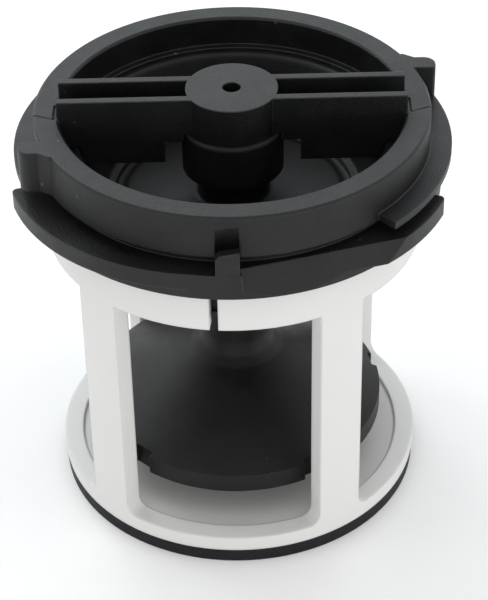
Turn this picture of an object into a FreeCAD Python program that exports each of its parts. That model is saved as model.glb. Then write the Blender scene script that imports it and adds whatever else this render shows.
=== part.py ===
import FreeCAD, Part
import math
import os
import Sketcher

# Washing machine pump filter, in millimetres, standing on its seal with the axis along +Z.
# The twist cap carries the bayonet and the crossbar, the core plug hangs from the cap's hub,
# the slotted cage snaps round the cap's neck and turns on it, and the seal sits under the cage.

SIZES = {
    # heights, stacked up from the underside of the seal
    "seal_thick": 2.6,
    "rim_height": 2.7,
    "window_height": 43.0,
    "collar_height": 8.5,
    "collar_play": 0.3,
    "flange_thick": 3.4,
    "groove_width": 2.0,
    "ring_height": 7.0,
    "bar_rise": 3.0,
    # twist cap
    "ring_overhang": 0.8,
    "ring_break": 0.35,
    "ledge_drop": 5.0,
    "ledge_width": 1.26,
    "groove_depth": 1.8,
    "flange_overhang": 2.0,
    "skirt_clearance": 0.8,
    "skirt_drop": 0.8,
    "neck_length": 8.4,
    "neck_wall": 1.3,
    "bead_height": 1.2,
    "bead_rise": 0.5,
    # bayonet, angles in degrees from the front towards the right
    "plate_thick": 2.8,
    "nose_round": 0.9,
    "lead_reach": 2.65,
    "lead_round": 32.5,
    "lead_start_angle": -12.0,
    "lead_end_angle": -75.2,
    "cam_reach": 2.2,
    "cam_start_angle": 28.0,
    "cam_end_angle": 67.0,
    "flat_inset": 2.8,
    "flat_angle": 15.7,
    "stop_reach": 3.4,
    "stop_thick": 1.2,
    "stop_start_angle": 43.8,
    "stop_end_angle": 109.0,
    "lug_centre": 11.3,
    "lug_width": 3.2,
    "lug_reach": 1.7,
    "lug_flare": 1.3,
    "lug_round": 1.9,
    "lug_edge_round": 0.5,
    "tongue_centre": -1.17,
    "tongue_width": 3.6,
    "tongue_thick": 1.4,
    "tongue_inset": 0.05,
    "tongue_rise": 4.1,
    "tongue_slant": 0.5,
    "tongue_corner": 0.7,
    "recess_depth": 1.6,
    "recess_rise": 5.3,
    # crossbar and hub
    "rib_spacing": 5.9,
    "rib_thick": 1.3,
    "rib_depth": 11.2,
    "rib_clearance": 0.3,
    "notch_half": 10.6,
    "notch_rise": 3.7,
    "boss_radius": 6.4,
    "drum_overhang": 0.8,
    "pin_hole_radius": 1.45,
    "witness_width": 0.3,
    "witness_depth": 0.35,
    "witness_reach": 4.3,
    "witness_inset": 0.42,
    "witness_skew": 1.6,
    # core plug
    "plug_fit": 0.05,
    "boss_fit": 0.05,
    "bowl_drop": 0.3,
    "bowl_wall": 1.4,
    "bowl_straight": 7.2,
    "bowl_taper": 4.15,
    "floor_drop": 16.0,
    "floor_thick": 2.0,
    "floor_bead_width": 1.1,
    "floor_bead_rise": 0.4,
    "gutter_width": 1.6,
    "gutter_depth": 0.7,
    "stem_radius": 5.75,
    "stem_wall": 2.35,
    "cup_wall": 1.6,
    "cup_drop": 3.3,
    "cup_depth": 5.0,
    "cup_straight": 7.7,
    "cup_taper": 0.8,
    "disc_gap": 2.8,
    "disc_height": 10.2,
    "disc_rim": 3.2,
    "disc_wall": 2.0,
    "bell_rise": 10.4,
    "flare_round": 4.0,
    "slot_width": 3.4,
    "slot_depth": 0.9,
    "slot_count": 5,
    "slot_turn": 30.0,
    # cage
    "cage_turn": -6.6,
    "cage_radius": 30.2,
    "cage_wall": 3.1,
    "collar_clearance": 0.3,
    "end_window_angle": 63.4,
    "side_window_angle": 86.6,
    "sill_round": 2.0,
    "collar_slit": 1.3,
    "sill_shelf": 0.7,
    "sill_drop": 0.6,
    "foot_width": 12.1,
    "outlet_drop": 2.4,
    "spigot_inset": 4.6,
    "spigot_depth": 1.8,
    "spigot_lip": 0.45,
    "lip_height": 0.7,
    # seal
    "seal_inset": 0.1,
    "seal_fit": 0.05,
    "seal_break": 0.15,
}


class Size:
    """A length worked out from the sheet: its value and the formula that binds it."""

    def __init__(self, value, formula):
        self.value = value
        self.formula = formula

    def _join(self, sign, other, value):
        other_formula = other.formula if isinstance(other, Size) else str(other)
        return Size(value, f"({self.formula} {sign} {other_formula})")

    def __add__(self, other):
        return self._join("+", other, self.value + plain(other))

    def __sub__(self, other):
        return self._join("-", other, self.value - plain(other))

    def __mul__(self, other):
        return self._join("*", other, self.value * plain(other))

    def __truediv__(self, other):
        return self._join("/", other, self.value / plain(other))

    def __neg__(self):
        return Size(-self.value, f"(0 - {self.formula})")

    def sine(self):
        """Sine of this angle in degrees."""
        return Size(math.sin(math.radians(self.value)), f"sin({self.formula} * 1 deg)")

    def cosine(self):
        """Cosine of this angle in degrees."""
        return Size(math.cos(math.radians(self.value)), f"cos({self.formula} * 1 deg)")


def plain(number):
    """The bare value of a size or a number."""
    return number.value if isinstance(number, Size) else number


def root(size):
    """Square root of a worked-out size."""
    return Size(math.sqrt(size.value), f"sqrt({size.formula})")


def size(alias):
    """A size straight from its cell."""
    return Size(SIZES[alias], f"Sizes.{alias}")


def polar(radius, angle):
    """A plan point at a radius, the angle turned from the front towards the right."""
    return radius * angle.sine(), -(radius * angle.cosine())


def opposite(corners):
    """The same plan points half a turn round the axis."""
    return [(-x, -y) for x, y in corners]


def make_sheet(doc):
    """The sheet of driving sizes, one named cell each."""
    sheet = doc.addObject("Spreadsheet::Sheet", "Sizes")
    for row, (alias, value) in enumerate(SIZES.items(), start=1):
        sheet.set(f"A{row}", alias)
        sheet.set(f"B{row}", str(value))
        sheet.setAlias(f"B{row}", alias)
    doc.recompute()


def make_body(doc, label):
    body = doc.addObject("PartDesign::Body", label)
    body.Label = label
    return body


def sketch_on(body, name, role, height=None):
    """An empty sketch on one of the body's own planes, raised by a height."""
    sketch = body.newObject("Sketcher::SketchObject", name)
    plane = next(item for item in body.Origin.OriginFeatures if item.Role == role)
    sketch.AttachmentSupport = [(plane, "")]
    sketch.MapMode = "FlatFace"
    if height is not None:
        sketch.setExpression("AttachmentOffset.Base.z", height.formula)
    return sketch


def fix_point(sketch, index, end, point):
    """Hold one end of a sketch line at a pair of sizes from the origin."""
    for kind, part in zip(("DistanceX", "DistanceY"), point):
        number = sketch.addConstraint(Sketcher.Constraint(kind, -1, 1, index, end, part.value))
        name = f"{kind[-1].lower()}_{number}"
        sketch.renameConstraint(number, name)
        sketch.setExpression(f"Constraints.{name}", part.formula)


def hold_radius(sketch, index, radius):
    """Bind the radius of a sketch circle or arc to a size."""
    number = sketch.addConstraint(Sketcher.Constraint("Radius", index, radius.value))
    sketch.renameConstraint(number, f"radius_{number}")
    sketch.setExpression(f"Constraints.radius_{number}", radius.formula)


def arc_between(start, finish, radius, side):
    """A short arc between two points, its centre left (1) or right (-1) of the way."""
    chord = finish - start
    left = FreeCAD.Vector(-chord.y, chord.x, 0).normalize()
    rise = math.sqrt(radius ** 2 - chord.Length ** 2 / 4)
    centre = (start + finish) * 0.5 + left * (rise * side)
    ends = (start, finish) if side > 0 else (finish, start)
    low, high = [math.atan2(point.y - centre.y, point.x - centre.x) for point in ends]
    return Part.ArcOfCircle(Part.Circle(centre, FreeCAD.Vector(0, 0, 1), radius), low, high)


def outline(sketch, corners, arcs=()):
    """A closed outline through the corners, straight except for arcs by edge, radius and side."""
    points = [FreeCAD.Vector(x.value, y.value, 0) for x, y in corners]
    bends = {edge: (radius.value, side) for edge, radius, side in arcs}
    first = sketch.GeometryCount
    count = len(points)
    ends = []
    for number, start in enumerate(points):
        finish = points[(number + 1) % count]
        if number in bends:
            edge = arc_between(start, finish, *bends[number])
            ends.append((1, 2) if bends[number][1] > 0 else (2, 1))
        else:
            edge = Part.LineSegment(start, finish)
            ends.append((1, 2))
        sketch.addGeometry(edge, False)
    for number, corner in enumerate(corners):
        following = (number + 1) % count
        sketch.addConstraint(Sketcher.Constraint(
            "Coincident", first + number, ends[number][1], first + following, ends[following][0]))
        fix_point(sketch, first + number, ends[number][0], corner)
    for number, radius, side in arcs:
        hold_radius(sketch, first + number, radius)


def box_outline(sketch, left, right, low, high):
    outline(sketch, [(left, low), (right, low), (right, high), (left, high)])


def sector(inner, outer, start, end):
    """Corners and arcs of a ring sector between two radii and two angles."""
    corners = [polar(inner, start), polar(outer, start), polar(outer, end), polar(inner, end)]
    return corners, [(1, outer, 1), (3, inner, -1)]


def circle(sketch, radius):
    """A circle about the sketch's origin."""
    centre = FreeCAD.Vector(0, 0, 0)
    index = sketch.addGeometry(Part.Circle(centre, FreeCAD.Vector(0, 0, 1), radius.value), False)
    sketch.addConstraint(Sketcher.Constraint("Coincident", index, 3, -1, 1))
    hold_radius(sketch, index, radius)


def revolve(body, name, corners):
    """A solid turned about the axis from a half section of radius and height."""
    sketch = sketch_on(body, f"{name}_section", "XZ_Plane")
    outline(sketch, corners)
    feature = body.newObject("PartDesign::Revolution", name)
    feature.Profile = sketch
    feature.ReferenceAxis = (sketch, ["V_Axis"])
    feature.Angle = 360
    return feature


def pad(body, name, sketch, length):
    feature = body.newObject("PartDesign::Pad", name)
    feature.Profile = sketch
    feature.setExpression("Length", length.formula)
    return feature


def pocket(body, name, sketch, length, forward=False):
    """A cut behind the sketch, or in front of it."""
    feature = body.newObject("PartDesign::Pocket", name)
    feature.Profile = sketch
    feature.setExpression("Length", length.formula)
    feature.Reversed = forward
    return feature


def polar_pattern(body, name, originals, count):
    """Copies of features, evenly round the axis."""
    pattern = body.newObject("PartDesign::PolarPattern", name)
    pattern.Originals = originals
    axis = next(item for item in body.Origin.OriginFeatures if item.Role == "Z_Axis")
    pattern.Axis = (axis, [""])
    pattern.Angle = 360
    if isinstance(count, Size):
        pattern.setExpression("Occurrences", count.formula)
    else:
        pattern.Occurrences = count
    body.Tip = pattern
    return pattern


def edges_of(body, name, wanted):
    """The body's last feature and the names of its edges that a test picks out."""
    body.Document.recompute()
    base = body.Tip
    names = [f"Edge{number}" for number, edge in enumerate(base.Shape.Edges, start=1) if wanted(edge)]
    if not names:
        raise RuntimeError(f"{name}: no edge found")
    return base, names


def round_edges(body, name, radius, wanted):
    """Round the edges of the body so far that a test picks out."""
    base = edges_of(body, name, wanted)
    feature = body.newObject("PartDesign::Fillet", name)
    feature.Base = base
    feature.setExpression("Radius", radius.formula)
    body.Tip = feature


def break_edges(body, name, width, wanted):
    """Chamfer the edges of the body so far that a test picks out."""
    base = edges_of(body, name, wanted)
    feature = body.newObject("PartDesign::Chamfer", name)
    feature.Base = base
    feature.setExpression("Size", width.formula)
    body.Tip = feature


NEAR = 0.02
ON_AXIS = Size(0.0, "0")


def on_ring(*rings):
    """A test for edges that run round the axis at given radii and heights."""
    def wanted(edge):
        curve = edge.Curve
        if not isinstance(curve, Part.Circle) or abs(curve.Axis.z) < 1 - NEAR:
            return False
        centre = curve.Center
        if math.hypot(centre.x, centre.y) > NEAR:
            return False
        return any(abs(curve.Radius - radius.value) < NEAR and abs(centre.z - height.value) < NEAR
                   for radius, height in rings)
    return wanted


def upright(low, high, corners):
    """A test for straight vertical edges between two heights at plan corners or half a turn on."""
    places = [(x.value, y.value) for x, y in corners + opposite(corners)]

    def wanted(edge):
        ends = [vertex.Point for vertex in edge.Vertexes]
        if len(ends) != 2 or math.hypot(ends[0].x - ends[1].x, ends[0].y - ends[1].y) > NEAR:
            return False
        heights = sorted(point.z for point in ends)
        if abs(heights[0] - low.value) > NEAR or abs(heights[1] - high.value) > NEAR:
            return False
        return any(math.hypot(ends[0].x - x, ends[0].y - y) < NEAR for x, y in places)
    return wanted


def levels():
    """Heights of the main faces above the seal's underside."""
    level = {"seal_top": size("seal_thick")}
    level["rim_top"] = level["seal_top"] + size("rim_height")
    level["window_top"] = level["rim_top"] + size("window_height")
    level["collar_top"] = level["window_top"] + size("collar_height")
    level["flange_low"] = level["collar_top"] + size("collar_play")
    level["flange_top"] = level["flange_low"] + size("flange_thick")
    level["wall_low"] = level["flange_top"] + size("groove_width")
    level["ring_top"] = level["wall_low"] + size("ring_height")
    level["bar_top"] = level["ring_top"] + size("bar_rise")
    level["ledge"] = level["ring_top"] - size("ledge_drop")
    level["skirt_low"] = level["flange_low"] - size("skirt_drop")
    level["neck_low"] = level["flange_low"] - size("neck_length")
    level["bowl_top"] = level["ledge"] - size("bowl_drop")
    level["floor"] = level["ring_top"] - size("floor_drop")
    level["floor_bead"] = level["floor"] + size("floor_bead_rise")
    level["cup_rim"] = level["ring_top"] - size("cup_drop")
    level["cup_floor"] = level["cup_rim"] - size("cup_depth")
    return level


def radii():
    """Radii that several features or pieces share."""
    radius = {"cage_inner": size("cage_radius") - size("cage_wall")}
    radius["neck"] = radius["cage_inner"]
    radius["collar_inner"] = radius["neck"] + size("collar_clearance")
    radius["bead"] = radius["neck"] + size("bead_rise")
    radius["bore"] = radius["neck"] - size("neck_wall")
    radius["plug"] = radius["bore"] - size("plug_fit")
    radius["bowl_top"] = radius["plug"] - size("bowl_wall")
    radius["bowl_low"] = radius["bowl_top"] - size("bowl_taper")
    radius["ring"] = size("cage_radius") + size("ring_overhang")
    radius["ring_inner"] = radius["bore"] + size("ledge_width")
    radius["groove"] = radius["ring"] - size("groove_depth")
    radius["flange"] = radius["ring"] + size("flange_overhang")
    radius["cam"] = radius["flange"] + size("cam_reach")
    radius["cup"] = size("boss_radius") + size("boss_fit") + size("cup_wall")
    radius["spigot"] = size("cage_radius") - size("spigot_inset")
    return radius


def handle_cap(doc, level, radius):
    """Twist cap: ring, bayonet, skirt, neck, crossbar and hub moulded as one."""
    body = make_body(doc, "handle_cap")
    turn_ring(body, level, radius)
    cut_bayonet(body, level, radius)
    add_crossbar(body, level, radius)
    return body


def turn_ring(body, level, radius):
    """The cap's turned section: ring wall, bayonet groove, flange, skirt lip and neck."""
    skirt_inner = size("cage_radius") + size("skirt_clearance")
    bead_top = level["neck_low"] + size("bead_height")
    revolve(body, "cap_turning", [
        (radius["bore"], level["neck_low"]),
        (radius["neck"], level["neck_low"]),
        (radius["bead"], level["neck_low"] + size("bead_rise")),
        (radius["bead"], bead_top),
        (radius["neck"], bead_top),
        (radius["neck"], level["flange_low"]),
        (skirt_inner, level["flange_low"]),
        (skirt_inner, level["skirt_low"]),
        (radius["flange"], level["skirt_low"]),
        (radius["flange"], level["flange_top"]),
        (radius["groove"], level["flange_top"]),
        (radius["groove"], level["wall_low"]),
        (radius["ring"], level["wall_low"]),
        (radius["ring"], level["ring_top"]),
        (radius["ring_inner"], level["ring_top"]),
        (radius["ring_inner"], level["ledge"]),
        (radius["bore"], level["ledge"]),
    ])
    body.Tip = body.Group[-1]
    break_edges(body, "ring_edges", size("ring_break"), on_ring(
        (radius["ring"], level["ring_top"]), (radius["ring_inner"], level["ring_top"])))


def add_lugs(body, level, radius):
    """Two stop lugs on the ring wall, square to the crossbar's ends, each flared on one side."""
    low = size("lug_centre") - size("lug_width") / 2
    high = size("lug_centre") + size("lug_width") / 2
    face = radius["ring"] + size("lug_reach")
    wall = root(radius["ring"] * radius["ring"] - high * high)
    flare = size("lug_flare") / radius["ring"]
    inside = radius["ring_inner"] / radius["ring"]
    corners = [
        (radius["ring_inner"], low),
        (face, low),
        (face, high),
        (wall + size("lug_flare"), high),
        (wall - flare * high, high + flare * wall),
        (wall * inside, high * inside + size("lug_flare")),
    ]
    plan = sketch_on(body, "lug_plan", "XY_Plane", level["wall_low"])
    outline(plan, corners)
    outline(plan, opposite(corners))
    body.Tip = pad(body, "stop_lugs", plan, size("ring_height"))
    for name, alias, corner in (("lug_corners", "lug_round", 2), ("lug_edges", "lug_edge_round", 1)):
        round_edges(body, name, size(alias), upright(
            level["wall_low"], level["ring_top"], corners[corner:corner + 1]))


def add_plates(body, level, radius, root_radius):
    """Lead-in and cam plates on both sides of the flange, their leading corners rounded."""
    plate_low = level["flange_top"] - size("plate_thick")
    start, end = size("lead_start_angle"), size("lead_end_angle")
    nose = polar(radius["flange"] + size("lead_reach"), end)
    lead = [polar(root_radius, end), nose, polar(radius["flange"], start), polar(root_radius, start)]
    lead_arcs = [(1, size("lead_round"), 1), (3, root_radius, -1)]
    cam, cam_arcs = sector(root_radius, radius["cam"], size("cam_start_angle"), size("cam_end_angle"))
    plan = sketch_on(body, "plate_plan", "XY_Plane", plate_low)
    for corners, arcs in ((lead, lead_arcs), (cam, cam_arcs)):
        outline(plan, corners, arcs)
        outline(plan, opposite(corners), arcs)
    body.Tip = pad(body, "lead_and_cam_plates", plan, size("plate_thick"))
    round_edges(body, "plate_noses", size("nose_round"), upright(
        plate_low, level["flange_top"], [nose, cam[2]]))


def cut_bayonet(body, level, radius):
    """Two alike sets of bayonet features, half a turn apart."""
    root_radius = radius["groove"] + size("groove_depth") / 2
    add_lugs(body, level, radius)
    add_plates(body, level, radius, root_radius)
    tongue_left = size("tongue_centre") - size("tongue_width") / 2
    tongue_right = size("tongue_centre") + size("tongue_width") / 2
    tongue_back = radius["flange"] - size("tongue_inset") - size("tongue_thick")

    flat = sketch_on(body, "flat_section", "YZ_Plane")
    sine, cosine = size("flat_angle").sine(), size("flat_angle").cosine()
    begin = tongue_right * cosine - tongue_back * sine
    flat.AttachmentOffset = FreeCAD.Placement(
        FreeCAD.Vector(0, 0, 0), FreeCAD.Rotation(FreeCAD.Vector(0, 1, 0), SIZES["flat_angle"]))
    flat.setExpression("AttachmentOffset.Rotation.Angle", "Sizes.flat_angle * 1 deg")
    flat.setExpression("AttachmentOffset.Base.x", (begin * sine).formula)
    flat.setExpression("AttachmentOffset.Base.z", (begin * cosine).formula)
    slope = (level["flange_top"] - level["skirt_low"]) / size("flat_inset")
    clear = size("groove_width") / 2
    chord = radius["flange"] - size("flat_inset")
    outside = radius["cam"] + clear
    outline(flat, [
        (clear / slope - chord, level["flange_top"] + clear),
        (-outside, level["flange_top"] + clear),
        (-outside, level["flange_top"] - slope * (outside - chord)),
    ])
    flat_cut = pocket(body, "cam_flat", flat, radius["cam"], forward=True)

    stop = sketch_on(body, "stop_plan", "XY_Plane", level["wall_low"])
    outline(stop, *sector(root_radius, radius["ring"] + size("stop_reach"),
                          size("stop_start_angle"), size("stop_end_angle")))
    stop_pad = pad(body, "stop_plate", stop, size("stop_thick"))

    recess = sketch_on(body, "recess_section", "YZ_Plane", tongue_left)
    recess_top = level["wall_low"] + size("recess_rise")
    open_side = -(radius["ring"] + size("recess_depth"))
    outline(recess, [
        (open_side, level["wall_low"]),
        (size("recess_depth") - radius["ring"], level["wall_low"]),
        (-radius["ring"], recess_top),
        (open_side, recess_top),
    ])
    recess_cut = pocket(body, "tongue_recess", recess, size("tongue_width"), forward=True)

    tongue = sketch_on(body, "tongue_front", "XZ_Plane", tongue_back)
    tongue_top = level["flange_top"] + size("tongue_rise")
    low_corner = tongue_top - size("tongue_slant")
    outline(tongue, [
        (tongue_left, level["flange_top"]),
        (tongue_right, level["flange_top"]),
        (tongue_right, tongue_top),
        (tongue_left + size("tongue_corner"), low_corner),
        (tongue_left, low_corner - size("tongue_corner")),
    ])
    tongue_pad = pad(body, "latch_tongue", tongue, size("tongue_thick"))

    polar_pattern(body, "bayonet_pair", [flat_cut, stop_pad, recess_cut, tongue_pad], 2)


def add_crossbar(body, level, radius):
    """Two thin ribs across the ring, the hub between them and the fine witness lines."""
    rib_low = level["bar_top"] - size("rib_depth")
    notch_top = rib_low + size("notch_rise")
    inner = size("rib_spacing") / 2 - size("rib_thick") / 2
    outer = size("rib_spacing") / 2 + size("rib_thick") / 2
    share = (rib_low - level["floor_bead"]) / (level["bowl_top"] - level["floor_bead"])
    bowl_radius = radius["bowl_low"] + size("bowl_taper") * share
    foot_top, foot_low = [root(reach * reach - outer * outer) - size("rib_clearance")
                          for reach in (radius["bowl_top"], bowl_radius)]
    half_side = [
        (radius["ring_inner"], level["bar_top"]),
        (radius["ring_inner"], level["ledge"]),
        (foot_top, level["ledge"]),
        (foot_low, rib_low),
        (size("notch_half"), rib_low),
        (size("notch_half"), notch_top),
    ]
    for name, offset in (("front_rib", inner), ("rear_rib", -outer)):
        side = sketch_on(body, f"{name}_side", "XZ_Plane", offset)
        outline(side, half_side + [(-x, z) for x, z in reversed(half_side)])
        body.Tip = pad(body, name, side, size("rib_thick"))

    drum_low = level["cup_rim"] + size("boss_fit")
    relief = sketch_on(body, "cup_relief_plan", "XY_Plane", drum_low)
    circle(relief, radius["cup"] + size("rib_clearance"))
    body.Tip = pocket(body, "cup_relief", relief, drum_low - notch_top)
    boss = sketch_on(body, "boss_plan", "XY_Plane", level["cup_floor"])
    circle(boss, size("boss_radius"))
    pad(body, "hub_boss", boss, level["bar_top"] - level["cup_floor"])
    drum = sketch_on(body, "drum_plan", "XY_Plane", drum_low)
    circle(drum, size("boss_radius") + size("drum_overhang"))
    body.Tip = pad(body, "hub_drum", drum, level["bar_top"] - drum_low)
    hole = sketch_on(body, "pin_hole_plan", "XY_Plane", level["bar_top"])
    circle(hole, size("pin_hole_radius"))
    body.Tip = pocket(body, "pin_hole", hole, level["bar_top"] - level["cup_floor"])

    lines = sketch_on(body, "witness_plan", "XY_Plane", level["ring_top"])
    wide = size("witness_width")
    inset = radius["ring_inner"] + size("witness_inset")
    edge = radius["ring"] + wide
    corner_y = -outer
    skew_y = corner_y + size("witness_skew")
    for side in (1, -1):
        outline(lines, [
            (inset * side, corner_y),
            (edge * side, skew_y),
            (edge * side, skew_y + wide),
            ((inset + wide) * side, corner_y + wide),
            ((inset + wide) * side, corner_y + size("witness_reach")),
            (inset * side, corner_y + size("witness_reach")),
        ])
    body.Tip = pocket(body, "witness_lines", lines, size("witness_depth"))


def core_plug(doc, level, radius):
    """Core plug: bowl in the cap's neck, stem with a cup for the hub, and the bell disc."""
    body = make_body(doc, "core_plug")
    floor_low = level["floor"] - size("floor_thick")
    bead_inner = radius["bowl_low"] - size("floor_bead_width")
    gutter_inner = bead_inner - size("gutter_width")
    gutter_low = level["floor"] - size("gutter_depth")
    stem = size("stem_radius")
    stem_bore = stem - size("stem_wall")
    disc_radius = radius["cage_inner"] - size("disc_gap")
    cup_bore = size("boss_radius") + size("boss_fit")
    cup_low = level["cup_rim"] - size("cup_straight")
    disc_low = size("disc_height")
    disc_top = disc_low + size("disc_rim")
    bell_top = disc_top + size("bell_rise")
    bell_run = disc_radius - stem
    bell_slant = root(bell_run * bell_run + size("bell_rise") * size("bell_rise"))
    flare = size("flare_round") * (bell_slant - size("bell_rise")) / bell_run
    flare_share = size("flare_round") / root(size("flare_round") * size("flare_round") + flare * flare)
    under_edge = disc_radius - size("disc_wall")
    under_top = disc_low + size("bell_rise") / bell_run * (under_edge - stem_bore)
    revolve(body, "plug_turning", [
        (ON_AXIS, level["cup_floor"]),
        (cup_bore, level["cup_floor"]),
        (cup_bore, level["cup_rim"]),
        (radius["cup"], level["cup_rim"]),
        (radius["cup"], cup_low),
        (stem, cup_low - size("cup_taper")),
        (stem, level["floor"]),
        (gutter_inner, level["floor"]),
        (gutter_inner, gutter_low),
        (bead_inner, gutter_low),
        (bead_inner, level["floor_bead"]),
        (radius["bowl_low"], level["floor_bead"]),
        (radius["bowl_top"], level["bowl_top"]),
        (radius["plug"], level["bowl_top"]),
        (radius["plug"], level["bowl_top"] - size("bowl_straight")),
        (radius["bowl_low"] + size("bowl_wall"), floor_low),
        (stem, floor_low),
        (stem, bell_top + flare),
        (stem + size("flare_round") * (-flare_share + 1), bell_top + flare * (-flare_share + 1)),
        (stem + flare * bell_run / bell_slant, bell_top - flare * size("bell_rise") / bell_slant),
        (disc_radius, disc_top),
        (disc_radius, disc_low),
        (under_edge, disc_low),
        (stem_bore, under_top),
        (stem_bore, floor_low - size("floor_thick")),
        (ON_AXIS, floor_low - size("floor_thick")),
    ])
    body.Tip = body.Group[-1]
    slot = sketch_on(body, "slot_plan", "XY_Plane", disc_low)
    half = size("slot_width") / 2
    sine, cosine = size("slot_turn").sine(), size("slot_turn").cosine()
    inside = disc_radius - size("slot_depth")
    outside = disc_radius + size("slot_depth")
    corners = []
    for reach, side in ((inside, -half), (outside, -half), (outside, half), (inside, half)):
        corners.append((reach * sine + side * cosine, side * sine - reach * cosine))
    outline(slot, corners)
    slot_cut = pocket(body, "rim_slot", slot, size("disc_rim") * 2, forward=True)
    polar_pattern(body, "rim_slots", [slot_cut], size("slot_count"))
    return body


def filter_cage(doc, level, radius):
    """White cage: split snap collar, four windows, pillars and the seal's rim."""
    body = make_body(doc, "filter_cage")
    outer = size("cage_radius")
    inner = radius["cage_inner"]
    outlet = radius["spigot"] - size("foot_width")
    relief = radius["bead"] + size("collar_clearance")
    relief_top = level["neck_low"] + size("bead_height") + size("collar_clearance")
    sill_low = level["rim_top"] - size("sill_drop")
    spigot_low = level["seal_top"] - size("spigot_depth")
    lip_radius = radius["spigot"] + size("spigot_lip")
    lip_top = spigot_low + size("lip_height")
    outlet_top = sill_low - size("outlet_drop")
    revolve(body, "cage_turning", [
        (outlet, spigot_low),
        (lip_radius, spigot_low),
        (lip_radius, lip_top),
        (radius["spigot"], lip_top),
        (radius["spigot"], level["seal_top"]),
        (outer, level["seal_top"]),
        (outer, level["collar_top"]),
        (radius["collar_inner"], level["collar_top"]),
        (radius["collar_inner"], relief_top),
        (relief, relief_top),
        (relief, level["window_top"]),
        (inner, level["window_top"]),
        (inner, sill_low),
        (inner - size("sill_shelf"), sill_low),
        (outlet, outlet_top),
    ])
    body.Tip = body.Group[-1]
    cut_windows(body, level, inner, outer)
    slit = sketch_on(body, "slit_side", "XZ_Plane")
    half = size("collar_slit") / 2
    box_outline(slit, -half, half, level["window_top"] - size("cage_wall"), level["collar_top"] + half)
    slit_cut = pocket(body, "collar_slits", slit, outer * 3)
    slit_cut.Midplane = True
    body.Tip = slit_cut
    turn = FreeCAD.Rotation(FreeCAD.Vector(0, 0, 1), 0)
    body.Placement = FreeCAD.Placement(FreeCAD.Vector(0, 0, 0), turn)
    body.setExpression("Placement.Rotation.Angle", "Sizes.cage_turn * 1 deg")
    return body


def cut_windows(body, level, inner, outer):
    """Two end windows under the slits and two wider side windows, rounded at the sill."""
    near = inner - size("cage_wall")
    far = outer + size("cage_wall")
    kinds = (("end", "YZ_Plane", size("end_window_angle")), ("side", "XZ_Plane", size("side_window_angle")))
    for kind, role, angle in kinds:
        section = sketch_on(body, f"{kind}_window_section", role)
        box_outline(section, near, far, level["rim_top"], level["window_top"])
        cut = body.newObject("PartDesign::Groove", f"{kind}_window")
        cut.Profile = section
        cut.ReferenceAxis = (section, ["V_Axis"])
        cut.Midplane = True
        cut.setExpression("Angle", angle.formula)
        polar_pattern(body, f"{kind}_windows", [cut], 2)
    round_edges(body, "sill_corners", size("sill_round"), radial_corner(inner, outer, level["rim_top"]))


def radial_corner(inner, outer, height):
    """A test for level edges that run out through the wall at a height."""
    def wanted(edge):
        ends = [vertex.Point for vertex in edge.Vertexes]
        if len(ends) != 2 or any(abs(point.z - height.value) > NEAR for point in ends):
            return False
        reach = sorted(math.hypot(point.x, point.y) for point in ends)
        return abs(reach[0] - inner.value) < NEAR and abs(reach[1] - outer.value) < NEAR
    return wanted


def sealing_ring(doc, level, radius):
    """Rubber ring stretched over the cage's spigot."""
    body = make_body(doc, "sealing_ring")
    inner = radius["spigot"] + size("seal_fit")
    outer = size("cage_radius") - size("seal_inset")
    rebate = inner + size("spigot_lip")
    lip_top = level["seal_top"] - size("spigot_depth") + size("lip_height") + size("seal_fit")
    bottom = level["seal_top"] - size("seal_thick")
    revolve(body, "seal_turning", [
        (rebate, bottom),
        (outer, bottom),
        (outer, level["seal_top"]),
        (inner, level["seal_top"]),
        (inner, lip_top),
        (rebate, lip_top),
    ])
    body.Tip = body.Group[-1]
    break_edges(body, "seal_edge", size("seal_break"), on_ring((outer, bottom)))
    return body


def write_parts(doc, bodies):
    """Check the document and write each piece."""
    for item in doc.Objects:
        if "Invalid" in item.State or "Error" in item.State:
            raise RuntimeError(f"{item.Name}: {item.State}")
    os.makedirs("parts", exist_ok=True)
    for body in bodies:
        if body.Shape.isNull() or not body.Shape.isValid() or len(body.Shape.Solids) != 1:
            raise RuntimeError(f"{body.Label} is not one sound solid")
        body.Shape.exportStep(f"parts/{body.Label}.step")
        print(body.Label, round(body.Shape.Volume, 1), body.Shape.BoundBox)


def main():
    doc = FreeCAD.newDocument("PumpFilter")
    make_sheet(doc)
    level = levels()
    radius = radii()
    bodies = [
        handle_cap(doc, level, radius),
        core_plug(doc, level, radius),
        filter_cage(doc, level, radius),
        sealing_ring(doc, level, radius),
    ]
    doc.recompute()
    write_parts(doc, bodies)


main()
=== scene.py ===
"""Looks of a washing machine pump filter: dark twist cap and core, white cage, black seal."""

import logging
import math
from dataclasses import dataclass
from enum import Enum

import bmesh
import bpy
from mathutils import Matrix, Vector

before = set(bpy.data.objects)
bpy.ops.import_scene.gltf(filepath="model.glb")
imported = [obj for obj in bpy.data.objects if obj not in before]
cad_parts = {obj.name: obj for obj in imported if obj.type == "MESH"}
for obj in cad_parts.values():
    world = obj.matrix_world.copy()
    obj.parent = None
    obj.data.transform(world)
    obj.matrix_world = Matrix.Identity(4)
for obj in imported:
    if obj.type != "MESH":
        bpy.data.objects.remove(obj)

LOG = logging.getLogger("pump_filter")
Colour = tuple[float, float, float]
Point = tuple[float, float, float]
Span = tuple[float, float]
Socket = bpy.types.NodeSocket
MM = 0.001
WHITE: Colour = (1.0, 1.0, 1.0)
BEVEL_SAMPLES = 8
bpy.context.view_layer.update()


class Node(Enum):
    """The solids of the part."""

    CAP = "handle_cap"
    CORE = "core_plug"
    CAGE = "filter_cage"
    SEAL = "sealing_ring"


class Sum(Enum):
    """The sums that a graph can work out."""

    ADD = "ADD"
    TIMES = "MULTIPLY"
    LARGER = "MAXIMUM"


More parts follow.
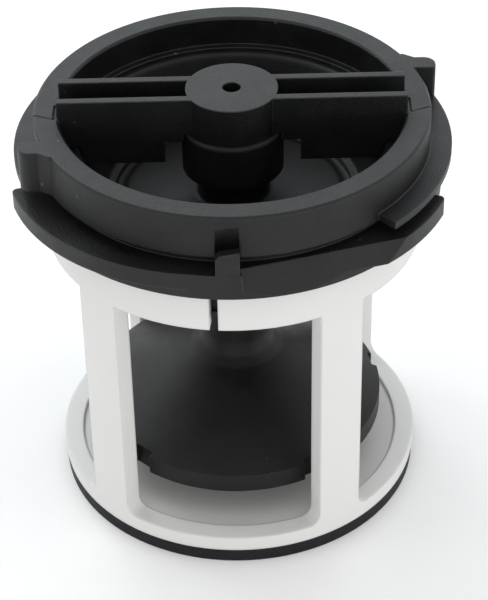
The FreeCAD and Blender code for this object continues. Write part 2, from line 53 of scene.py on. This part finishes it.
class Ending(Enum):
    """The outputs that a graph can end in."""

    MATERIAL = "ShaderNodeOutputMaterial"
    WORLD = "ShaderNodeOutputWorld"


class Graph:
    """A node tree with short ways to add and join nodes."""

    def __init__(self, tree: bpy.types.NodeTree) -> None:
        """Empty the node tree of a material or a world and keep it."""
        self.tree = tree
        self.tree.nodes.clear()

    def add(self, kind: str, **settings: object) -> bpy.types.Node:
        """Add a node.

        Args:
            kind: the node's type name.
            settings: properties of the node to set.

        Returns:
            The new node.
        """
        node = self.tree.nodes.new(kind)
        for name, value in settings.items():
            setattr(node, name, value)
        return node

    def feed(self, target: Socket, value: Socket | float | Colour) -> None:
        """Give an input its value, by a link or directly.

        Args:
            target: the input.
            value: an output to link, a number or a colour.
        """
        if isinstance(value, bpy.types.NodeSocket):
            self.tree.links.new(value, target)
        elif isinstance(value, tuple):
            target.default_value = (*value, 1.0)
        else:
            target.default_value = value

    def place(self) -> Socket:
        """Add the object's own coordinates."""
        return self.add("ShaderNodeTexCoord").outputs["Object"]

    def height(self) -> Socket:
        """Add the height in the object's own coordinates.

        Returns:
            The height in metres.
        """
        parts = self.add("ShaderNodeSeparateXYZ")
        self.feed(parts.inputs["Vector"], self.place())
        return parts.outputs["Z"]

    def spread(self, value: Socket, source: Span, result: Span) -> Socket:
        """Map a value from one range to another, held within the second.

        Args:
            value: the value to map.
            source: the value's own range.
            result: the range that it is mapped to.

        Returns:
            The mapped value.
        """
        node = self.add("ShaderNodeMapRange")
        self.feed(node.inputs["Value"], value)
        for name, number in zip(("From Min", "From Max", "To Min", "To Max"), (*source, *result)):
            self.feed(node.inputs[name], number)
        return node.outputs["Result"]

    def work_out(self, operation: Sum, first: Socket | float, second: Socket | float) -> Socket:
        """Work out a sum of two values.

        Args:
            operation: the sum.
            first: the first value.
            second: the second value.

        Returns:
            The result.
        """
        node = self.add("ShaderNodeMath", operation=operation.value)
        self.feed(node.inputs[0], first)
        self.feed(node.inputs[1], second)
        return node.outputs["Value"]

    def blend(self, share: Socket, plain: Socket | Colour, other: Socket | Colour) -> Socket:
        """Mix two colours.

        Args:
            share: how much of the other colour shows.
            plain: the colour at nought.
            other: the colour at one.

        Returns:
            The mixed colour.
        """
        node = self.add("ShaderNodeMix", data_type="RGBA")
        inputs = {socket.identifier: socket for socket in node.inputs}
        outputs = {socket.identifier: socket for socket in node.outputs}
        self.feed(inputs["Factor_Float"], share)
        self.feed(inputs["A_Color"], plain)
        self.feed(inputs["B_Color"], other)
        return outputs["Result_Color"]

    def likeness(self, first: Socket, second: Socket) -> Socket:
        """Compare two directions.

        Args:
            first: the first direction.
            second: the second direction.

        Returns:
            The cosine of the angle between them.
        """
        node = self.add("ShaderNodeVectorMath", operation="DOT_PRODUCT")
        self.feed(node.inputs[0], first)
        self.feed(node.inputs[1], second)
        return node.outputs["Value"]

    def bevel(self, radius: Socket | float) -> Socket:
        """Round the edges in the shading.

        Args:
            radius: the radius of the rounding in metres.

        Returns:
            The rounded normal.
        """
        node = self.add("ShaderNodeBevel", samples=BEVEL_SAMPLES)
        self.feed(node.inputs["Radius"], radius)
        return node.outputs["Normal"]

    def seen(self) -> Socket:
        """Tell rays that show a surface from those that only light by it.

        Returns:
            One for camera, glossy and transmission rays.
        """
        path = self.add("ShaderNodeLightPath")
        shown = self.work_out(Sum.LARGER, path.outputs["Is Camera Ray"], path.outputs["Is Glossy Ray"])
        return self.work_out(Sum.LARGER, shown, path.outputs["Is Transmission Ray"])

    def end(self, ending: Ending, shader: Socket) -> None:
        """End the graph with the output that shows a shader."""
        self.feed(self.add(ending.value).inputs["Surface"], shader)


@dataclass(frozen=True)
class Pattern:
    """Noise by its cells to the metre, its octaves and the span of it that counts."""

    cells: float
    octaves: float
    span: Span

    def noise(self, graph: Graph) -> Socket:
        """Add the plain noise over the object's own coordinates.

        Args:
            graph: the material's graph.

        Returns:
            The noise from nought to one.
        """
        node = graph.add("ShaderNodeTexNoise")
        graph.feed(node.inputs["Scale"], self.cells)
        graph.feed(node.inputs["Detail"], self.octaves)
        graph.feed(node.inputs["Vector"], graph.place())
        return node.outputs["Fac"]

    def share(self, graph: Graph, result: Span) -> Socket:
        """Add the noise with its span spread over a range of results."""
        return graph.spread(self.noise(graph), self.span, result)


@dataclass(frozen=True)
class Dust:
    """Sparse pale specks in patches.

    Attributes:
        tint: the specks' colour.
        amount: the most that a speck hides of the plastic.
        cells: cells to the metre, with one speck in each.
        reach: how far from its middle a speck starts and is full, in cells.
        patches: where specks lie at all.
    """

    tint: Colour
    amount: float
    cells: float = 330.0
    reach: Span = (0.10, 0.05)
    patches: Pattern = Pattern(55.0, 2.0, (0.58, 0.74))

    def mask(self, graph: Graph) -> Socket:
        """Say where the specks lie.

        Args:
            graph: the material's graph.

        Returns:
            The share of dust.
        """
        specks = graph.add("ShaderNodeTexVoronoi", feature="F1")
        graph.feed(specks.inputs["Scale"], self.cells)
        graph.feed(specks.inputs["Vector"], graph.place())
        near = graph.spread(specks.outputs["Distance"], self.reach, (0.0, 1.0))
        return graph.work_out(Sum.TIMES, near, self.patches.share(graph, (0.0, self.amount)))


@dataclass(frozen=True)
class EdgeRound:
    """Rounding of the edges in the shading.

    Attributes:
        radius: the radius in metres.
        low_radius: the radius at the foot of the rise, if it differs.
        rise: the heights in metres between which the radius changes.
    """

    radius: float
    low_radius: float | None = None
    rise: Span = (0.0, 1.0)

    def normal(self, graph: Graph) -> Socket:
        """Work out the rounded normal.

        Args:
            graph: the material's graph.

        Returns:
            The rounded normal.
        """
        if self.low_radius is None:
            return graph.bevel(self.radius)
        return graph.bevel(graph.spread(graph.height(), self.rise, (self.low_radius, self.radius)))


@dataclass(frozen=True)
class SatinPlastic:
    """Moulded plastic or rubber with mottled colour, fine grain and pale edges, partly wear and partly
    a painted highlight.

    Attributes:
        name: the material's name.
        tint: the darker colour of the mottle.
        pale_tint: its paler colour.
        wear_and_highlight_tint: the colour of a pale edge, partly wear and partly a painted highlight.
        roughness: the least and the greatest roughness.
        edges: the rounding of the edges.
        grain: the grain's strength.
        grain_depth: the grain's depth in metres.
        wear_and_highlight_amount: the most that the pale edge colour, wear and painted highlight,
            shows.
        edge_turn: cosines of the normal's turn where the pale edge, wear and painted highlight, starts
            and is full.
        edge_patch_share: the least and the greatest share of the pale edge, wear and painted
            highlight, along an edge.
        specular: the specular level.
        mottle: the broad pattern of the colour.
        speckle: the fine pattern of the colour and the grain.
        gloss: the pattern of the roughness.
        edge_patches: the patchy pattern of the pale edge, wear and painted highlight.
        dust: the specks that lie on the piece, if any.
    """

    name: str
    tint: Colour
    pale_tint: Colour
    wear_and_highlight_tint: Colour
    roughness: Span
    edges: EdgeRound
    grain: float
    grain_depth: float = 0.035 * MM
    wear_and_highlight_amount: float = 0.5
    edge_turn: Span = (0.995, 0.9)
    edge_patch_share: Span = (0.3, 1.0)
    specular: float = 0.5
    mottle: Pattern = Pattern(110.0, 5.0, (0.35, 0.68))
    speckle: Pattern = Pattern(4600.0, 2.0, (0.35, 0.65))
    gloss: Pattern = Pattern(420.0, 3.0, (0.3, 0.7))
    edge_patches: Pattern = Pattern(420.0, 4.0, (0.35, 0.65))
    dust: Dust | None = None

    def material(self) -> bpy.types.Material:
        """Make the material.

        Returns:
            The new material.
        """
        material = bpy.data.materials.new(self.name)
        material.use_nodes = True
        graph = Graph(material.node_tree)
        shader = graph.add("ShaderNodeBsdfPrincipled")
        rounded = self.edges.normal(graph)
        graph.feed(shader.inputs["Specular IOR Level"], self.specular)
        graph.feed(shader.inputs["Base Color"], self._colour(graph, rounded))
        graph.feed(shader.inputs["Roughness"], self.gloss.share(graph, self.roughness))
        graph.feed(shader.inputs["Normal"], self._grained(graph, rounded))
        graph.end(Ending.MATERIAL, shader.outputs["BSDF"])
        return material

    def _colour(self, graph: Graph, rounded: Socket) -> Socket:
        """Work out the mottled colour, its pale edges of wear and painted highlight, and its dust.

        Args:
            graph: the material's graph.
            rounded: the normal with its edges rounded.

        Returns:
            The colour.
        """
        up_to_half = (0.0, 0.5)
        broad = self.mottle.share(graph, up_to_half)
        fine = self.speckle.share(graph, up_to_half)
        pale = graph.work_out(Sum.ADD, broad, fine)
        colour = graph.blend(pale, self.tint, self.pale_tint)
        # Pale edges: partly wear, partly a painted highlight where light catches each edge, in patches
        # along it.
        flat = graph.add("ShaderNodeNewGeometry").outputs["True Normal"]
        worn_and_highlit = graph.spread(graph.likeness(rounded, flat), self.edge_turn, (0.0, self.wear_and_highlight_amount))
        patchy_edges = self.edge_patches.share(graph, self.edge_patch_share)
        colour = graph.blend(graph.work_out(Sum.TIMES, worn_and_highlit, patchy_edges), colour, self.wear_and_highlight_tint)
        if self.dust is not None:
            colour = graph.blend(self.dust.mask(graph), colour, self.dust.tint)
        return colour

    def _grained(self, graph: Graph, rounded: Socket) -> Socket:
        """Add the mould's fine grain to a normal.

        Args:
            graph: the material's graph.
            rounded: the normal with its edges rounded.

        Returns:
            The grained normal.
        """
        bump = graph.add("ShaderNodeBump")
        graph.feed(bump.inputs["Strength"], self.grain)
        graph.feed(bump.inputs["Distance"], self.grain_depth)
        graph.feed(bump.inputs["Height"], self.speckle.noise(graph))
        graph.feed(bump.inputs["Normal"], rounded)
        return bump.outputs["Normal"]


def dress(node: Node, finish: SatinPlastic) -> None:
    """Put a finish on every material slot of a solid, which stays as built.

    Args:
        node: the solid.
        finish: the finish that it gets.
    """
    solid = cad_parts[node.value]
    material = finish.material()
    if not solid.material_slots:
        solid.data.materials.append(material)
    for holder in solid.material_slots:
        holder.material = material
    LOG.info("%s dressed in %s", node.value, finish.name)


@dataclass(frozen=True)
class TwistCap:
    """The turning half: the cap and the core plug that hangs from it."""

    cap: SatinPlastic = SatinPlastic(
        "cap_satin",
        tint=(0.001, 0.0011, 0.0012),
        pale_tint=(0.012, 0.0125, 0.013),
        # Pale edge colour, partly wear and partly a painted highlight.
        wear_and_highlight_tint=(0.06, 0.064, 0.066),
        roughness=(0.4, 0.46),
        edges=EdgeRound(0.35 * MM),
        grain=1.0,
        grain_depth=0.09 * MM,
        specular=0.35,
        dust=Dust((0.4, 0.41, 0.41), 0.6),
    )
    core: SatinPlastic = SatinPlastic(
        "core_satin",
        tint=(0.001, 0.0011, 0.0012),
        pale_tint=(0.0095, 0.0098, 0.01),
        # Pale edge colour, partly wear and partly a painted highlight.
        wear_and_highlight_tint=(0.03, 0.031, 0.032),
        roughness=(0.42, 0.5),
        edges=EdgeRound(1.4 * MM, low_radius=0.3 * MM, rise=(16.0 * MM, 20.0 * MM)),
        grain=1.0,
        grain_depth=0.06 * MM,
        wear_and_highlight_amount=0.3,
        specular=0.28,
        dust=Dust((0.3, 0.31, 0.31), 0.4, cells=420.0),
    )

    def build(self) -> None:
        """Dress the cap and the core plug."""
        dress(Node.CAP, self.cap)
        dress(Node.CORE, self.core)


@dataclass(frozen=True)
class FilterCage:
    """The standing half: the cage and the seal under its foot."""

    cage: SatinPlastic = SatinPlastic(
        "cage_white",
        tint=(0.79, 0.785, 0.765),
        pale_tint=(0.815, 0.81, 0.79),
        # Pale edge colour, partly wear and partly a painted highlight.
        wear_and_highlight_tint=(0.825, 0.82, 0.80),
        roughness=(0.4, 0.48),
        edges=EdgeRound(0.6 * MM),
        grain=0.15,
    )
    seal: SatinPlastic = SatinPlastic(
        "seal_black",
        tint=(0.004, 0.0045, 0.006),
        pale_tint=(0.007, 0.0075, 0.0095),
        # Pale edge colour, partly wear and partly a painted highlight.
        wear_and_highlight_tint=(0.012, 0.013, 0.016),
        roughness=(0.5, 0.66),
        edges=EdgeRound(0.4 * MM),
        grain=0.35,
        specular=0.25,
    )

    def build(self) -> None:
        """Dress the cage and the seal."""
        dress(Node.CAGE, self.cage)
        dress(Node.SEAL, self.seal)


@dataclass(frozen=True)
class SoftLamp:
    """A soft rectangular lamp aimed at the part, in watts and metres."""

    name: str
    place: Point
    power: float
    size: Span
    aim: Point = (0.0, 0.0, 35.0 * MM)
    tint: Colour = WHITE

    def build(self) -> None:
        """Hang the lamp."""
        data = bpy.data.lights.new(self.name, "AREA")
        data.shape = "RECTANGLE"
        data.energy = self.power
        data.color = self.tint
        data.size, data.size_y = self.size
        lamp = bpy.data.objects.new(self.name, data)
        lamp.location = self.place
        lamp.rotation_mode = "QUATERNION"
        lamp.rotation_quaternion = (Vector(self.aim) - lamp.location).to_track_quat("-Z", "Y")
        bpy.context.scene.collection.objects.link(lamp)


@dataclass(frozen=True)
class Studio:
    """White table, white surround and three soft lamps."""

    table_radius: float = 1.2
    table_corners: int = 96
    table_drop: float = 0.02 * MM
    table_tint: Colour = (0.9, 0.9, 0.9)
    table_roughness: float = 0.8
    table_specular: float = 0.0
    table_glow: float = 0.12
    surround: float = 0.85
    seen_surround: float = 1.0
    lamps: tuple[SoftLamp, ...] = (
        SoftLamp(
            "window_light",
            place=(-0.42, 0.5, 0.62),
            power=2.1,
            size=(0.5, 0.4),
            tint=(0.95, 1.0, 1.03),
        ),
        SoftLamp(
            "back_light",
            place=(0.08, 0.75, 0.55),
            power=1.2,
            size=(0.9, 0.35),
            tint=(0.82, 1.0, 1.12),
        ),
        SoftLamp(
            "front_fill",
            place=(0.6, -0.55, 0.1),
            power=1.0,
            size=(1.0, 0.16),
            aim=(0.0, 0.0, 30.0 * MM),
        ),
    )

    def build(self) -> None:
        """Make the table, the lamps and the world."""
        self._table()
        for lamp in self.lamps:
            lamp.build()
        self._world()
        LOG.info("studio set with %d lamps", len(self.lamps))

    def _table(self) -> None:
        """Make the table top as a disc under the part."""
        mesh = bpy.data.meshes.new("table")
        shape = bmesh.new()
        under = Matrix.Translation((0.0, 0.0, -self.table_drop))
        bmesh.ops.create_circle(
            shape, cap_ends=True, segments=self.table_corners, radius=self.table_radius, matrix=under)
        shape.to_mesh(mesh)
        shape.free()
        table = bpy.data.objects.new("table", mesh)
        bpy.context.scene.collection.objects.link(table)
        mesh.materials.append(self._table_finish())

    def _table_finish(self) -> bpy.types.Material:
        """Make the table's white, lifted a little where it is seen.

        Returns:
            The new material.
        """
        material = bpy.data.materials.new("table_white")
        material.use_nodes = True
        graph = Graph(material.node_tree)
        shader = graph.add("ShaderNodeBsdfPrincipled")
        graph.feed(shader.inputs["Base Color"], self.table_tint)
        graph.feed(shader.inputs["Roughness"], self.table_roughness)
        graph.feed(shader.inputs["Specular IOR Level"], self.table_specular)
        graph.feed(shader.inputs["Emission Color"], WHITE)
        glow = graph.work_out(Sum.TIMES, graph.seen(), self.table_glow)
        graph.feed(shader.inputs["Emission Strength"], glow)
        graph.end(Ending.MATERIAL, shader.outputs["BSDF"])
        return material

    def _world(self) -> None:
        """Make the surround, white where it is seen."""
        world = bpy.data.worlds.new("surround")
        world.use_nodes = True
        graph = Graph(world.node_tree)
        light = graph.add("ShaderNodeBackground")
        graph.feed(light.inputs["Color"], WHITE)
        strength = graph.spread(graph.seen(), (0.0, 1.0), (self.surround, self.seen_surround))
        graph.feed(light.inputs["Strength"], strength)
        graph.end(Ending.WORLD, light.outputs["Background"])
        bpy.context.scene.world = world


@dataclass(frozen=True)
class PhotoCamera:
    """Camera at the photograph's place."""

    elevation: float = math.radians(36.70)
    roll: float = math.radians(1.30)
    distance: float = 334.2 * MM
    aim: Point = (0.0, 0.0, 36.5 * MM)
    lens: float = 121.15
    sensor: float = 36.0
    shift: Span = (0.0137, -0.0440)
    clip: Span = (0.01, 10.0)

    def build(self) -> None:
        """Make the camera and use it."""
        data = bpy.data.cameras.new("photo_camera")
        data.lens = self.lens
        data.sensor_width = self.sensor
        data.shift_x, data.shift_y = self.shift
        data.clip_start, data.clip_end = self.clip
        camera = bpy.data.objects.new("photo_camera", data)
        camera.matrix_world = self._pose()
        bpy.context.scene.collection.objects.link(camera)
        bpy.context.scene.camera = camera
        LOG.info("camera set %.0f mm from the part", self.distance / MM)

    def _pose(self) -> Matrix:
        """Work out the camera's place and turn.

        Returns:
            The camera's matrix.
        """
        back = Vector((0.0, -math.cos(self.elevation), math.sin(self.elevation)))
        right = Vector((1.0, 0.0, 0.0))
        up = back.cross(right)
        rolled_right = right * math.cos(self.roll) - up * math.sin(self.roll)
        rolled_up = up * math.cos(self.roll) + right * math.sin(self.roll)
        turn = Matrix((rolled_right, rolled_up, back)).transposed()
        return Matrix.Translation(Vector(self.aim) + back * self.distance) @ turn.to_4x4()


def main() -> None:
    """Dress the part, then set the studio and the camera."""
    logging.basicConfig(level=logging.INFO, format="%(message)s")
    bpy.context.scene.view_settings.view_transform = "Standard"
    for group in (TwistCap(), FilterCage(), Studio(), PhotoCamera()):
        group.build()


if __name__ == "__main__":
    main()
